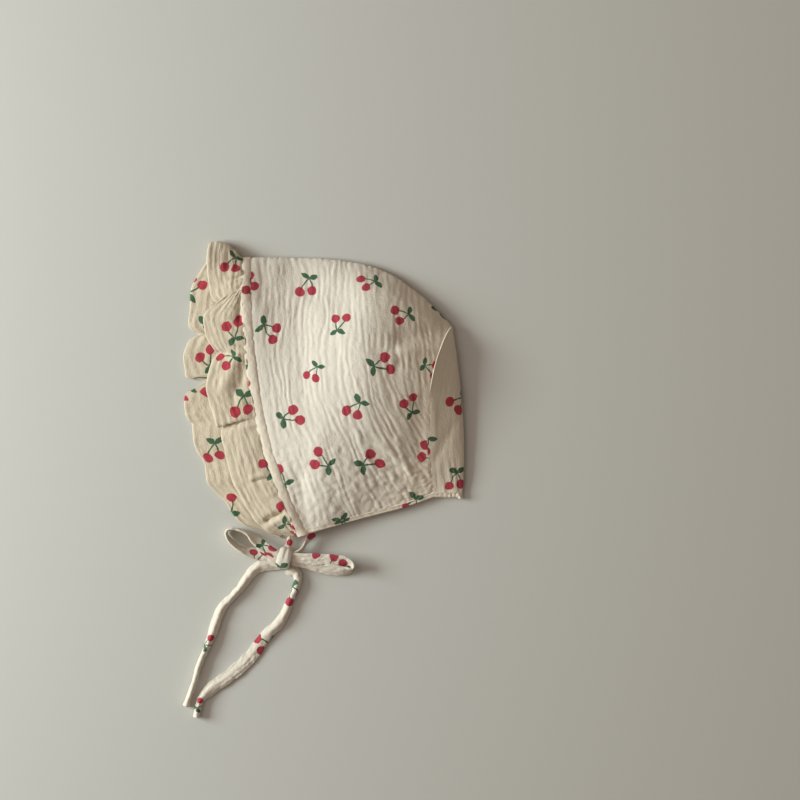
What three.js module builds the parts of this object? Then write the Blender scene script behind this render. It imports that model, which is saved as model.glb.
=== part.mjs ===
// Baby sun bonnet in crinkled double gauze, lying on its side with the far ear down.
// Millimetres. +X runs from the face to the nape, +Y from the neck to the top fold and
// +Z up from the surface. The origin is on the surface, under the middle of the bonnet.
import * as THREE from 'three';

// ---- driving sizes ----
const wall = 1.2; // two layers of gauze with their crinkle
const seamGap = 0.5; // clearance between two pieces that are sewn edge to edge
const bandWidth = 5.2; // stitched band round the face
const bandThickness = 2.2; // the band holds the turned seam allowance
const hemWidth = 3.0; // narrow binding round the neck
const hemThickness = 1.8;
const topFoldShare = 0.11; // part of a crown section that turns over at the top fold
const restHeight = wall / 2; // middle of the cloth that lies on the surface
const earShift = 8; // how far the lower ear lies in front of the upper one
const panelTop = 0.98; // where the back panel's rounded head ends, along its seam
const bandOverrun = 0.018; // the band runs past the neck edge to meet the ties
const tieWidth = 9;
const leadWidth = 5; // the ties are gathered where they leave the ears
const tailWidth = 7.2; // and creased along their tails
const tieThickness = 1.5;

const cream = 0xe8dcc6;
const warmCream = 0xe4d4ba;

// ---- crown ----
// A row for each section along the grain, from the face seam (across 0) to the back
// seam (across 1). Every section is a cubic from the neck edge to the top fold, with
// two handles; the third number is the height of the upper side.
const crownSections = [
  { across: 0.0, neck: [-13.2, -90.4, 10.5], low: [-44.5, -33.8, 12],
    high: [-48, 28.9, 13.5], top: [-48.4, 85.4, 9.5] },
  { across: 0.2, neck: [3.8, -85.8, 8], low: [-20, -30.1, 24.5],
    high: [-25, 27.5, 9.5], top: [-19.2, 85.4, 5] },
  { across: 0.4, neck: [19.9, -81.2, 6.6], low: [3.5, -27.5, 28],
    high: [-4, 27.5, 21], top: [9.8, 83.6, 6] },
  { across: 0.6, neck: [36.2, -77, 5.8], low: [25.7, -26.8, 20.5],
    high: [14, 23.9, 39], top: [37, 77.2, 6.5] },
  { across: 0.8, neck: [52.3, -72.6, 5.2], low: [46, -35, 15], high: [40, 16, 36], top: [62.2, 60.8, 7] },
  { across: 1.0, neck: [69.9, -66.4, 4.6], low: [66, -38, 13], high: [63.2, 10, 26], top: [82, 41, 7.5] },
];

// Main folds of the upper side: a soft ridge or valley along each line.
const crownFolds = [
  { name: 'hollow under the top fold', from: [-4, 62], to: [16, 56], width: 10, height: -1.5 },
  { name: 'long swell above the ear', from: [-5, -34], to: [-1, -75], width: 8, height: 1.2 },
  { name: 'hollow at the ear', from: [-17, -57], to: [-12, -88], width: 6, height: -1.5 },
  { name: 'swell of the side', from: [24, -4], to: [30, -22], width: 6, height: 0.4 },
  { name: 'valley over the back ridge', from: [76, 38], to: [50, 34], width: 6, height: -2.2 },
  { name: 'ridge at the back seam', from: [79, 27], to: [50, 26], width: 4, height: 1.2 },
];

// ---- back panel ----
// The fold down the middle of the back, from the neck edge to the top of the panel.
const backFold = { neck: [88.5, -66.6], low: [91, -40], high: [89.3, -4], top: [82, 41] };
const backFoldHeight = { neck: 2.6, top: 3.2 };

// ---- ruffle ----
// A row for each fold of the frill, from the upper ear (root 0) over the top fold
// (root 1) to the lower ear (root 2). Reach is how far the hem stands out from the
// band, drift how far it leans towards the top fold, rise the height of the hem and
// bow how far the middle bends towards the top fold.
const ruffleFolds = [
  { root: 0, reach: 4.5, drift: -1, rise: 3, bow: 0 },
  { root: 0.065, reach: 16.5, drift: -4.5, rise: 6.5, bow: 0 },
  { root: 0.12, reach: 21, drift: -3.5, rise: 8, bow: 0 },
  { root: 0.225, reach: 25, drift: -1, rise: 9, bow: 0 },
  { root: 0.365, reach: 23.5, drift: 0.5, rise: 8.5, bow: 0 },
  { root: 0.39, reach: 20, drift: 3.5, rise: 6, bow: 0 },
  { root: 0.41, reach: 25, drift: -3, rise: 10.5, bow: 0 },
  { root: 0.46, reach: 27, drift: 1.5, rise: 10.5, bow: 0 },
  { root: 0.5, reach: 27.5, drift: 2, rise: 10.5, bow: 0 },
  { root: 0.57, reach: 24.5, drift: 2, rise: 10, bow: 0 },
  { root: 0.615, reach: 18.5, drift: 2.5, rise: 7, bow: 0 },
  { root: 0.665, reach: 24, drift: 3, rise: 10.5, bow: 0 },
  { root: 0.715, reach: 25.5, drift: 7, rise: 10.5, bow: 0 },
  { root: 0.76, reach: 19.5, drift: 4.5, rise: 10.5, bow: 0 },
  { root: 0.835, reach: 5, drift: 1, rise: 10, bow: 0 },
  { root: 0.84, reach: 9.5, drift: -2, rise: 8, bow: 0 },
  { root: 0.85, reach: 15.5, drift: -9.5, rise: 8.5, bow: 0 },
  { root: 0.87, reach: 20, drift: -9, rise: 9, bow: 0 },
  { root: 0.905, reach: 22, drift: 0.5, rise: 10, bow: 0 },
  { root: 0.93, reach: 22, drift: 6, rise: 9, bow: 0 },
  { root: 1, reach: 21, drift: 10, rise: 6, bow: 5.5 },
  { root: 1.065, reach: 21, drift: 8, rise: 3.5, bow: 3 },
  { root: 1.09, reach: 22.5, drift: 6, rise: 2.5, bow: 0 },
  { root: 1.17, reach: 31.5, drift: 3, rise: 2, bow: 0 },
  { root: 1.245, reach: 33, drift: -3, rise: 2.5, bow: 0 },
  { root: 1.29, reach: 25.5, drift: -3.5, rise: 1, bow: 0 },
  { root: 1.31, reach: 32, drift: -2.5, rise: 2, bow: 0 },
  { root: 1.38, reach: 36, drift: -4, rise: 2.5, bow: 0 },
  { root: 1.415, reach: 35, drift: -4.5, rise: 2, bow: 0 },
  { root: 1.46, reach: 23, drift: -1, rise: 1, bow: 0 },
  { root: 1.505, reach: 36, drift: 2.5, rise: 2.5, bow: 0 },
  { root: 1.53, reach: 38, drift: 2.5, rise: 2.5, bow: 0 },
  { root: 1.56, reach: 38, drift: 2, rise: 2, bow: 0 },
  { root: 1.615, reach: 34.5, drift: 6, rise: 1, bow: 0 },
  { root: 1.685, reach: 35.5, drift: 7.5, rise: 2.5, bow: 0 },
  { root: 1.745, reach: 31.5, drift: 7, rise: 1.5, bow: 0 },
  { root: 1.8, reach: 33.5, drift: 8.5, rise: 2.5, bow: 0 },
  { root: 1.835, reach: 31.5, drift: 10, rise: 2, bow: 0 },
  { root: 1.96, reach: 20.5, drift: 6.5, rise: 1.5, bow: 0 },
  { root: 2, reach: 4, drift: -2, rise: 1, bow: 0 },
];
const ruffleStepsPerFold = 3;

// ---- ties ----
// Flat cotton ties lie on the surface; each route is a hand-laid list of x, y, z.
const tieRoutes = {
  upper_ear_lead: [
    [-8.6, -94.2, 4.6], [-10.6, -96.2, 4.8], [-12.2, -98.4, 5], [-13.6, -101, 5.2], [-15.6, -103.6, 5.4],
    [-18.2, -105.3, 5.4],
  ],
  lower_ear_lead: [
    [-22.3, -96.4, 3.2], [-22.7, -97.8, 3.1], [-23.1, -99.3, 3], [-23.6, -100.8, 2.9],
  ],
  left_loop: [
    [-31.4, -106.5, 9], [-35.6, -104, 8.8], [-41.2, -100.2, 8], [-45.6, -96.7, 7], [-50, -93.2, 6],
    [-55.6, -90.8, 5.4], [-60.6, -90, 5.4], [-63.6, -91.2, 5.4], [-64, -93.8, 5.4], [-61.4, -98, 5.4],
    [-56.7, -101.8, 5.3], [-51.9, -104.2, 5.2], [-46.3, -105.6, 5.4], [-40.8, -107.4, 6],
    [-36, -109.6, 6.8], [-32.2, -111, 7],
  ],
  right_loop: [
    [-20.2, -108.6, 7.2], [-15, -109.2, 7.4], [-9, -109.8, 7.4], [-3, -110.2, 7.4], [3, -110.4, 7.4],
    [9, -110.8, 7.2], [13.4, -111.6, 6.6], [16.6, -113.2, 5.8], [17.2, -115.4, 5.2], [14.6, -117, 5],
    [9.4, -117.2, 5], [3.4, -116.4, 5], [-3, -115, 5], [-9, -113.4, 5], [-15, -112.2, 5.2],
    [-19.6, -111.4, 5.4],
  ],
  left_tail: [
    [-31.6, -112.6, 1.2], [-38.7, -113.3, 0.9], [-43.9, -114.9, 0.9], [-47.8, -118, 0.9],
    [-51.7, -123, 0.9], [-55.3, -128, 0.9], [-59.5, -132.9, 0.9], [-63.7, -137.4, 0.9],
    [-67.6, -142.2, 0.9], [-70.2, -147.6, 0.9], [-72.2, -154, 0.9], [-74.3, -160.6, 0.9],
    [-77.2, -167.9, 0.9], [-80.6, -175.8, 0.9], [-83.5, -184, 0.9], [-86.1, -191.8, 0.9],
    [-88.6, -199.4, 0.9], [-90.6, -205.4, 0.9],
  ],
  right_tail: [
    [-23.4, -116.6, 1.4], [-19, -119, 0.9], [-17.8, -123.6, 0.9], [-19.5, -129.4, 0.9],
    [-22.1, -135.2, 0.9], [-24.4, -140.7, 0.9], [-27.3, -146.9, 0.9], [-31.5, -152.6, 0.9],
    [-37.1, -157.6, 0.9], [-41.9, -163.4, 0.9], [-45.8, -170, 0.9], [-51.4, -176.5, 0.9],
    [-58.8, -183, 0.9], [-67.3, -189.2, 0.9], [-75.1, -194.8, 0.9], [-80.2, -199.4, 0.9],
    [-82.4, -205.4, 0.9], [-83.7, -212.6, 0.9],
  ],
};
const standingTies = ['left_loop', 'right_loop']; // a loop's opening faces up
const tieStep = 5; // length of one step along a tie
const knotCentre = [-26.4, -109, 5.8];
const knotRadii = [4.6, 7.4, 5.3];
const knotLean = 16; // degrees, its top towards the nape

// ---- helpers ----
// Smooth curve through the same control point of every section.
function throughSections(name) {
  const points = crownSections.map((section) => new THREE.Vector3(...section[name]));
  return new THREE.CatmullRomCurve3(points, false, 'catmullrom', 0.5);
}

const sectionPoints = ['neck', 'low', 'high', 'top'].map(throughSections);

function cubic(points, t) {
  return new THREE.CubicBezierCurve3(...points).getPoint(t);
}

// How far a point lies from a fold's line, and how far along it is.
function foldLift(fold, x, y) {
  const dx = fold.to[0] - fold.from[0];
  const dy = fold.to[1] - fold.from[1];
  const length = Math.hypot(dx, dy);
  const along = ((x - fold.from[0]) * dx + (y - fold.from[1]) * dy) / length;
  const away = ((x - fold.from[0]) * dy - (y - fold.from[1]) * dx) / length;
  const beyond = Math.max(0, -along, along - length);
  const offset = Math.hypot(away, beyond) / fold.width;
  return fold.height * Math.exp(-offset * offset);
}

// Crown: girth 0 is the upper neck edge, 1 the top fold and 2 the lower neck edge.
// Near the fold the cloth follows a quarter turn from the upper side to the lip.
const flatShare = (1 - topFoldShare) / (1 - topFoldShare + topFoldShare * Math.PI / 2);

function sectionPlace(girth) {
  const side = girth <= 1 ? girth : 2 - girth;
  if (side <= flatShare) return { place: side / flatShare * (1 - topFoldShare), turn: 0 };
  const turn = (side - flatShare) / (1 - flatShare) * Math.PI / 2;
  return { place: 1 - topFoldShare * (1 - Math.sin(turn)), turn };
}

function crownPoint(across, girth) {
  const { place, turn } = sectionPlace(girth);
  const point = cubic(sectionPoints.map((curve) => curve.getPoint(across)), place);
  const lip = sectionPoints[3].getPoint(across).z / 2;
  if (girth <= 1) {
    const lift = crownFolds.reduce((sum, fold) => sum + foldLift(fold, point.x, point.y), 0);
    point.z = lip + (point.z + lift - lip) * Math.cos(turn);
    return point;
  }
  point.z = lip - (lip - restHeight) * Math.cos(turn);
  point.x -= earShift * (1 - across) * (1 - place * place);
  return point;
}

// Back panel: turn 0 is the upper back seam, 1 the fold of the back, 2 the lower seam.
function panelPoint(turn, girth) {
  const upper = crownPoint(1, girth);
  const lower = crownPoint(1, 2 - girth);
  const { place } = sectionPlace(girth);
  const fold = cubic([backFold.neck, backFold.low, backFold.high, backFold.top]
    .map(([x, y]) => new THREE.Vector3(x, y, 0)), place);
  fold.z = THREE.MathUtils.lerp(backFoldHeight.neck, backFoldHeight.top, place);
  const edge = turn <= 1 ? upper : lower;
  const start = edge.clone().lerp(fold, 1.3 * seamGap / edge.distanceTo(fold));
  const climb = start.z - fold.z;
  const seamHandle = start.clone().lerp(fold, 0.5);
  seamHandle.z = fold.z + climb;
  const foldHandle = fold.clone();
  foldHandle.z += climb;
  return cubic([start, seamHandle, foldHandle, fold], turn <= 1 ? turn : 2 - turn);
}

// A point beyond the crown's edge, carried on in the direction of the cloth.
function beyondFace(girth, distance) {
  const edge = crownPoint(0, girth);
  const direction = edge.clone().sub(crownPoint(0.02, girth)).normalize();
  return edge.addScaledVector(direction, distance);
}

function beyondNeck(edge, inside, distance) {
  const direction = edge.clone().sub(inside).normalize();
  return edge.clone().addScaledVector(direction, distance);
}

// Neck edge from the upper face seam round the nape to the lower face seam.
function neckPoint(round, distance) {
  if (round < 1) return beyondNeck(crownPoint(round, 0), crownPoint(round, 0.02), distance);
  if (round > 3) return beyondNeck(crownPoint(4 - round, 2), crownPoint(4 - round, 1.98), distance);
  return beyondNeck(panelPoint(round - 1, 0), panelPoint(round - 1, 0.02), distance);
}

// Frill: out 0 is sewn to the band, 1 is the hem.
const hemCurves = ['reach', 'drift', 'rise', 'bow'].map((name) => new THREE.CatmullRomCurve3(
  ruffleFolds.map((fold) => new THREE.Vector3(fold.root, fold[name], 0)), false, 'catmullrom', 0.5));

function rufflePoint(station, out) {
  const [reach, drift, rise, bow] = hemCurves.map((curve) => curve.getPoint(station).y);
  const root = THREE.MathUtils.clamp(hemCurves[0].getPoint(station).x, 0, 2);
  const start = beyondFace(root, bandWidth + 3 * seamGap);
  const side = Math.min(root, 2 - root);
  const below = crownPoint(0, Math.max(side - 0.01, 0));
  const up = crownPoint(0, Math.min(side + 0.01, 1)).sub(below).setZ(0).normalize();
  const outward = new THREE.Vector3(-up.y, up.x, 0);
  const hem = start.clone().addScaledVector(outward, reach - 2 * seamGap).addScaledVector(up, drift);
  hem.z = Math.max(rise, restHeight);
  // The lower side billows a little more than the upper one.
  const { smoothstep } = THREE.MathUtils;
  const lowerSide = smoothstep(root, 1.04, 1.12) * (1 - smoothstep(root, 1.9, 1.98));
  const leaving = start.clone().lerp(hem, 0.35).addScaledVector(up, bow);
  leaving.z = start.z * 0.8 + hem.z * 0.2 + (root < 1 ? 1.2 : 0.3 + 3 * lowerSide);
  const arriving = leaving.clone().lerp(hem, 0.5).addScaledVector(up, bow / 2);
  return cubic([start, leaving, arriving, hem], out);
}

// ---- solids ----
// A sheet of even thickness, closed all round. surface(u, v) is its middle, lift moves
// the wall along the outward normal, and u and v list the places of its rows.
function clothWall(surface, u, v, thickness, lift = 0) {
  const nudge = 1e-3;
  const positions = [];
  const index = [];
  const columns = v.length;
  const layer = u.length * columns;
  for (const half of [0.5, -0.5]) {
    for (const a of u) {
      for (const b of v) {
        const alongU = surface(Math.min(a + nudge, u.at(-1)), b).sub(surface(Math.max(a - nudge, u[0]), b));
        const alongV = surface(a, Math.min(b + nudge, v.at(-1))).sub(surface(a, Math.max(b - nudge, v[0])));
        const normal = alongU.cross(alongV).normalize();
        const point = surface(a, b).addScaledVector(normal, lift + half * thickness);
        positions.push(point.x, point.y, point.z);
      }
    }
  }
  const quad = (a, b, c, d) => index.push(a, b, c, a, c, d);
  for (let i = 0; i < u.length - 1; i += 1) {
    for (let j = 0; j < columns - 1; j += 1) {
      const corner = i * columns + j;
      quad(corner, corner + columns, corner + columns + 1, corner + 1);
      quad(corner + layer, corner + layer + 1, corner + layer + columns + 1, corner + layer + columns);
    }
  }
  for (let i = 0; i < u.length - 1; i += 1) {
    const first = i * columns;
    const last = first + columns - 1;
    quad(first, first + layer, first + layer + columns, first + columns);
    quad(last, last + columns, last + columns + layer, last + layer);
  }
  for (let j = 0; j < columns - 1; j += 1) {
    const last = (u.length - 1) * columns + j;
    quad(j, j + 1, j + 1 + layer, j + layer);
    quad(last, last + layer, last + layer + 1, last + 1);
  }
  const geometry = new THREE.BufferGeometry();
  geometry.setAttribute('position', new THREE.Float32BufferAttribute(positions, 3));
  geometry.setIndex(index);
  geometry.computeVertexNormals();
  return geometry;
}

function evenly(from, to, steps) {
  return Array.from({ length: steps + 1 }, (_, i) => THREE.MathUtils.lerp(from, to, i / steps));
}

// Rows round the girth, close together where the cloth turns over the top fold.
function girthRows(flatSteps, turnSteps, overrun = 0) {
  const upper = evenly(0, flatShare, flatSteps);
  const over = evenly(flatShare, 2 - flatShare, turnSteps).slice(1, -1);
  const lower = evenly(2 - flatShare, 2, flatSteps);
  const ends = overrun ? [[-overrun], [2 + overrun]] : [[], []];
  return [...ends[0], ...upper, ...over, ...lower, ...ends[1]];
}

// A flat tie with softened edges, swept along its route.
function tieGeometry(name) {
  const path = new THREE.CatmullRomCurve3(tieRoutes[name].map((place) => new THREE.Vector3(...place)));
  const [, part] = name.split(/_(?=[a-z]+$)/);
  const width = { lead: leadWidth, loop: tieWidth, tail: tailWidth }[part];
  const lying = [tieThickness / 2, width / 2];
  const [x, y] = standingTies.includes(name) ? lying.toReversed() : lying;
  const soften = tieThickness / 3;
  const corners = [
    [-x, soften - y], [soften - x, -y], [x - soften, -y], [x, soften - y],
    [x, y - soften], [x - soften, y], [soften - x, y], [-x, y - soften],
  ];
  const flat = new THREE.Shape(corners.map((corner) => new THREE.Vector2(...corner)));
  const steps = Math.max(3, Math.round(path.getLength() / tieStep));
  return new THREE.ExtrudeGeometry(flat, { steps, extrudePath: path, bevelEnabled: false });
}

function cloth(name, geometry, color) {
  const material = new THREE.MeshStandardMaterial({ color, roughness: 0.9, metalness: 0 });
  const mesh = new THREE.Mesh(geometry, material);
  mesh.name = name;
  return mesh;
}

// ---- pieces ----
const bonnet = new THREE.Group();

bonnet.add(cloth('crown', clothWall(crownPoint, evenly(0, 1, 15), girthRows(12, 12), wall), cream));

const panelRows = [...evenly(0, flatShare, 9), ...evenly(flatShare, 1, 6).slice(1, -1)]
  .filter((girth) => sectionPlace(girth).place <= panelTop);
bonnet.add(cloth('back_panel', clothWall(panelPoint, evenly(0, 2, 12), panelRows, wall), cream));

const bandPoint = (across, girth) => beyondFace(girth, (1 - across) * bandWidth + seamGap);
const inward = (wall - bandThickness) / 2;
bonnet.add(cloth('face_band',
  clothWall(bandPoint, evenly(0, 1, 2), girthRows(14, 10, bandOverrun), bandThickness, inward), warmCream));

const hemPoint = (down, round) => neckPoint(round, down * hemWidth + seamGap);
const hemRows = [...evenly(0, 1, 10), ...evenly(1, 3, 10).slice(1, -1), ...evenly(3, 4, 10)];
bonnet.add(cloth('neck_binding', clothWall(hemPoint, evenly(0, 1, 1), hemRows, hemThickness,
  (wall - hemThickness) / 2), warmCream));

const stations = (ruffleFolds.length - 1) * ruffleStepsPerFold;
const frill = (across, station) => rufflePoint(station, 1 - across);
bonnet.add(cloth('ruffle', clothWall(frill, evenly(0, 1, 4), evenly(0, 1, stations), wall), cream));

for (const name of Object.keys(tieRoutes)) {
  bonnet.add(cloth(`tie_${name}`, tieGeometry(name), cream));
}

const knot = cloth('tie_knot', new THREE.SphereGeometry(1, 14, 9).scale(...knotRadii), warmCream);
knot.position.set(...knotCentre);
knot.rotation.z = THREE.MathUtils.degToRad(-knotLean);
bonnet.add(knot);

export default bonnet;
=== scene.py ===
import math

import bpy
import numpy as np
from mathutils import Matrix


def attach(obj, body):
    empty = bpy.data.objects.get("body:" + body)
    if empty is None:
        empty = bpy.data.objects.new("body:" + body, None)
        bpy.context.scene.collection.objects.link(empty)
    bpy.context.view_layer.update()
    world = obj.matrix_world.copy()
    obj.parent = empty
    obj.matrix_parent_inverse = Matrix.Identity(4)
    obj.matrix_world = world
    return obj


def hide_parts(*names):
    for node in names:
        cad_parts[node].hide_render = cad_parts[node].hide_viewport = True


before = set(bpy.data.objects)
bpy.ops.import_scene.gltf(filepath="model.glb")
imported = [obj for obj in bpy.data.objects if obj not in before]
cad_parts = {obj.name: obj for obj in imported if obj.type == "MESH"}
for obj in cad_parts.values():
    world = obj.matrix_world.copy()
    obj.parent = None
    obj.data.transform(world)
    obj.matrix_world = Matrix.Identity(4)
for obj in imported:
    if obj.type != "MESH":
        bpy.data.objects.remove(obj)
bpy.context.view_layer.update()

mm = 0.001

# camera straight above, framed as the bonnet lies on a wide table
view = {"side": 520 * mm, "height": 2.2, "right": 48.4 * mm, "up": -6.5 * mm, "sensor": 36}


def deselectAll():
    for item in list(bpy.context.selected_objects):
        item.select_set(False)


def makeCamera():
    bpy.ops.object.camera_add(location=(view["right"], view["up"], view["height"]), rotation=(0, 0, 0))
    camera = bpy.context.object
    camera.data.sensor_width = view["sensor"]
    camera.data.lens = view["sensor"] * view["height"] / view["side"]
    camera.data.clip_end = 20
    bpy.context.scene.camera = camera
    bpy.context.scene.view_settings.view_transform = "Standard"
    print("camera", round(camera.data.lens, 1), "mm lens")


makeCamera()


# shared tools

def smoothThrough(values, place):
    # a smooth curve through evenly spaced rows, place from 0 to 1
    values = np.asarray(values, float)
    ends = [2 * values[0] - values[1]], [2 * values[-1] - values[-2]]
    row = np.concatenate([ends[0], values, ends[1]])
    reach = np.clip(place, 0, 1) * (len(values) - 1)
    at = np.minimum(reach.astype(int), len(values) - 2)
    f = (reach - at)[:, None]
    a, b, c, d = row[at], row[at + 1], row[at + 2], row[at + 3]
    square, cube = 2 * a - 5 * b + 4 * c - d, 3 * b - a - 3 * c + d
    return 0.5 * (2 * b + (c - a) * f + square * f ** 2 + cube * f ** 3)


def cubic(points, t):
    a, b, c, d = points
    s = 1 - t
    return a * s ** 3 + 3 * b * s * s * t + 3 * c * s * t * t + d * t ** 3


def softStep(value, low, high):
    t = np.clip((value - low) / (high - low), 0, 1)
    return t * t * (3 - 2 * t)


def hump(distance, width):
    return np.exp(-(distance / width) ** 2)


def softNoise(x, y, cellX, cellY, seed):
    # smooth noise from -1 to 1, one seeded value at each corner of its cells, whose sides
    # are in millimetres of cloth
    cells, start = 128, 40
    table = np.random.default_rng(seed).uniform(-1, 1, (cells, cells))
    gx, gy = x / cellX + start, y / cellY + start
    ix, iy = np.floor(gx).astype(int), np.floor(gy).astype(int)
    fx, fy = gx - ix, gy - iy
    fx, fy = fx * fx * (3 - 2 * fx), fy * fy * (3 - 2 * fy)
    left, right, below, above = ix % cells, (ix + 1) % cells, iy % cells, (iy + 1) % cells
    low = table[left, below] * (1 - fx) + table[right, below] * fx
    high = table[left, above] * (1 - fx) + table[right, above] * fx
    return low * (1 - fy) + high * fy


def unit(vectors):
    return vectors / np.maximum(np.linalg.norm(vectors, axis=-1, keepdims=True), 1e-9)


def lengthsAlong(path):
    # how far each point of a line is from its first, along the line
    return np.concatenate([[0], np.cumsum(np.linalg.norm(np.diff(path, axis=0), axis=1))])


def gridNormals(points, rows, columns):
    net = points.reshape(rows + 1, columns + 1, 3)
    along = np.gradient(net, axis=0)
    over = np.gradient(net, axis=1)
    return unit(np.cross(over, along)).reshape(-1, 3)


def gridSheet(name, columns, rows):
    # a flat grid, and the place of each vertex across and along it
    deselectAll()
    bpy.ops.mesh.primitive_grid_add(x_subdivisions=columns, y_subdivisions=rows, size=1)
    piece = bpy.context.object
    piece.name = piece.data.name = name
    spots = np.empty(len(piece.data.vertices) * 3)
    piece.data.vertices.foreach_get("co", spots)
    spots = spots.reshape(-1, 3)
    return piece, spots[:, 0] + 0.5, spots[:, 1] + 0.5


def putVertices(piece, points):
    piece.data.vertices.foreach_set("co", (points * mm).astype(np.float32).ravel())
    piece.data.update()


def chooseOnly(piece):
    deselectAll()
    piece.select_set(True)
    bpy.context.view_layer.objects.active = piece


def giveWall(piece, thickness, offset=0):
    wall = piece.modifiers.new("Wall", "SOLIDIFY")
    wall.thickness = thickness * mm
    wall.offset = offset
    wall.use_even_offset = False
    chooseOnly(piece)
    bpy.ops.object.modifier_apply(modifier="Wall")


mergeDoubles = (bpy.ops.mesh.remove_doubles, {"threshold": 0.02 * mm})
fillHoles = (bpy.ops.mesh.fill_holes, {"sides": 0})
faceOutwards = (bpy.ops.mesh.normals_make_consistent, {"inside": False})
flipFaces = (bpy.ops.mesh.flip_normals, {})


def editWhole(piece, *steps):
    # edit-mode operators, each on the whole mesh
    chooseOnly(piece)
    bpy.ops.object.mode_set(mode="EDIT")
    for operator, settings in steps:
        bpy.ops.mesh.select_all(action="SELECT")
        operator(**settings)
    bpy.ops.object.mode_set(mode="OBJECT")


def crinkled(x, y, seed):
    # soft ribs along the grain that swell and fade, with small puckers across them
    ribWide = 4.2
    drift = 2.4 * softNoise(x, y, 8, 22, seed) + 0.9 * softNoise(x, y, 3.4, 9, seed + 1)
    swell = 0.6 + 0.4 * softNoise(x, y, 5, 10, seed + 2)
    ribs = np.sin((x + drift) * 2 * math.pi / ribWide) * swell
    fine = softNoise(x + 0.6 * drift, y, 1.5, 6.5, seed + 3)
    puckers = softNoise(x, y, 1.7, 1.4, seed + 4)
    return 0.3 * ribs + 0.26 * fine + 0.16 * puckers


# print placing
# a chart has a row for each motif: its place and turn as seen from above, its size, the
# point of the motif that stands there, and how far along the cloth its search starts

def findMotifs(flat, points, chart, spare):
    # each motif's middle on the flat cloth, and the turn from flat cloth to motif
    motifs = []
    farAway, sameSpot, aroundMotif = 999, 3, 4.5
    for row in chart:
        away = np.hypot(points[:, 0] - row["x"], points[:, 1] - row["y"])
        away = np.where(flat[:, 1] < row.get("past", -farAway), farAway, away)
        close = np.flatnonzero(away < max(1.2, away.min() + 0.3))
        pick = close[np.argmax(points[close, 2])]  # the highest cloth at that place
        motifs.append((flat[pick], row["turn"], row.get("size", 1), row.get("point", "middle"), True))
    for x, y, turn in spare:
        motifs.append((np.array([x, y], float), turn, 1, "middle", False))
    placed = []
    for middle, turn, size, point, seen in motifs:
        offset = flat - middle
        near = np.hypot(offset[:, 0], offset[:, 1])
        if near.min() > sameSpot:
            continue
        region = near < aroundMotif
        base = points[region] - points[region].mean(axis=0)
        steps = np.linalg.lstsq(offset[region] - offset[region].mean(axis=0), base, rcond=None)[0]
        heading = np.array([math.cos(math.radians(turn)), math.sin(math.radians(turn))])
        if seen and abs(np.linalg.det(steps[:, :2])) > 0.02:
            heading = np.linalg.solve(steps[:, :2].T, heading)
        up = unit(heading @ steps)
        facing = unit(np.cross(steps[0], steps[1]))
        if seen and facing[2] < 0:
            facing = -facing
        right = np.cross(up, facing)
        turnToMotif = steps @ np.stack([right, up], axis=1) / size
        placed.append((middle, turnToMotif, np.array(pairPoints[point])))
    return placed


def chartPrint(piece, x, y, spots, chart, spare=()):
    # two maps: "cloth" in millimetres of flat cloth, "print" in millimetres from the
    # nearest motif's middle
    flat = np.stack([x, y], axis=1)
    mesh = piece.data
    corner = np.empty(len(mesh.loops), int)
    mesh.loops.foreach_get("vertex_index", corner)
    corner = corner.reshape(-1, 4)
    cloth = mesh.uv_layers[0]
    cloth.name = "cloth"
    cloth.data.foreach_set("uv", flat[corner].astype(np.float32).ravel())
    motifs = findMotifs(flat, spots, chart, spare)
    middles = np.array([m[0] for m in motifs])
    turns = np.array([m[1] for m in motifs])
    points = np.array([m[2] for m in motifs])
    centre = flat[corner].mean(axis=1)
    offset = centre[:, None, :] - middles[None]
    local = np.einsum("fmi,mij->fmj", offset, turns) + points
    nearest = np.argmin(np.hypot(local[..., 0], local[..., 1]), axis=1)
    corners = np.einsum("fci,fij->fcj", flat[corner] - middles[nearest][:, None], turns[nearest])
    corners += points[nearest][:, None]
    layer = mesh.uv_layers.new(name="print")
    layer.data.foreach_set("uv", corners.astype(np.float32).ravel())


# materials

def newMaterial(name):
    material = bpy.data.materials.new(name)
    material.use_nodes = True
    tree = material.node_tree
    return material, tree, tree.nodes["Principled BSDF"]


def feed(tree, made, inputs):
    # a socket gets a link or a fixed value
    for key, value in inputs.items():
        if isinstance(value, bpy.types.NodeSocket):
            tree.links.new(value, made.inputs[key])
        elif value is not None:
            made.inputs[key].default_value = value


def node(tree, kind, inputs, **settings):
    made = tree.nodes.new(kind)
    for key, value in settings.items():
        setattr(made, key, value)
    feed(tree, made, inputs)
    return made


def calc(tree, operation, a, b=None, c=None, clamp=False):
    inputs = {0: a, 1: b, 2: c}
    return node(tree, "ShaderNodeMath", inputs, operation=operation, use_clamp=clamp).outputs[0]


def mixColour(tree, amount, first, second, blend="MIX"):
    inputs = {"Factor": amount, "A": first, "B": second}
    return node(tree, "ShaderNodeMix", inputs, data_type="RGBA", blend_type=blend).outputs["Result"]


def separated(tree, vector):
    return node(tree, "ShaderNodeSeparateXYZ", {0: vector}).outputs


def uvMap(tree, name):
    return node(tree, "ShaderNodeUVMap", {}, uv_map=name).outputs[0]


def stretched(tree, vector, x, y):
    return node(tree, "ShaderNodeMapping", {"Scale": (x, y, 1), "Vector": vector}).outputs[0]


def noiseAt(tree, vector, scale, detail=2.0, rough=0.5, output="Fac"):
    inputs = {"Vector": vector, "Scale": scale, "Detail": detail, "Roughness": rough}
    return node(tree, "ShaderNodeTexNoise", inputs).outputs[output]


def ramp(tree, value, low, high):
    inputs = {"Value": value, "From Min": low, "From Max": high}
    return node(tree, "ShaderNodeMapRange", inputs, interpolation_type="SMOOTHSTEP").outputs[0]


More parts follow.
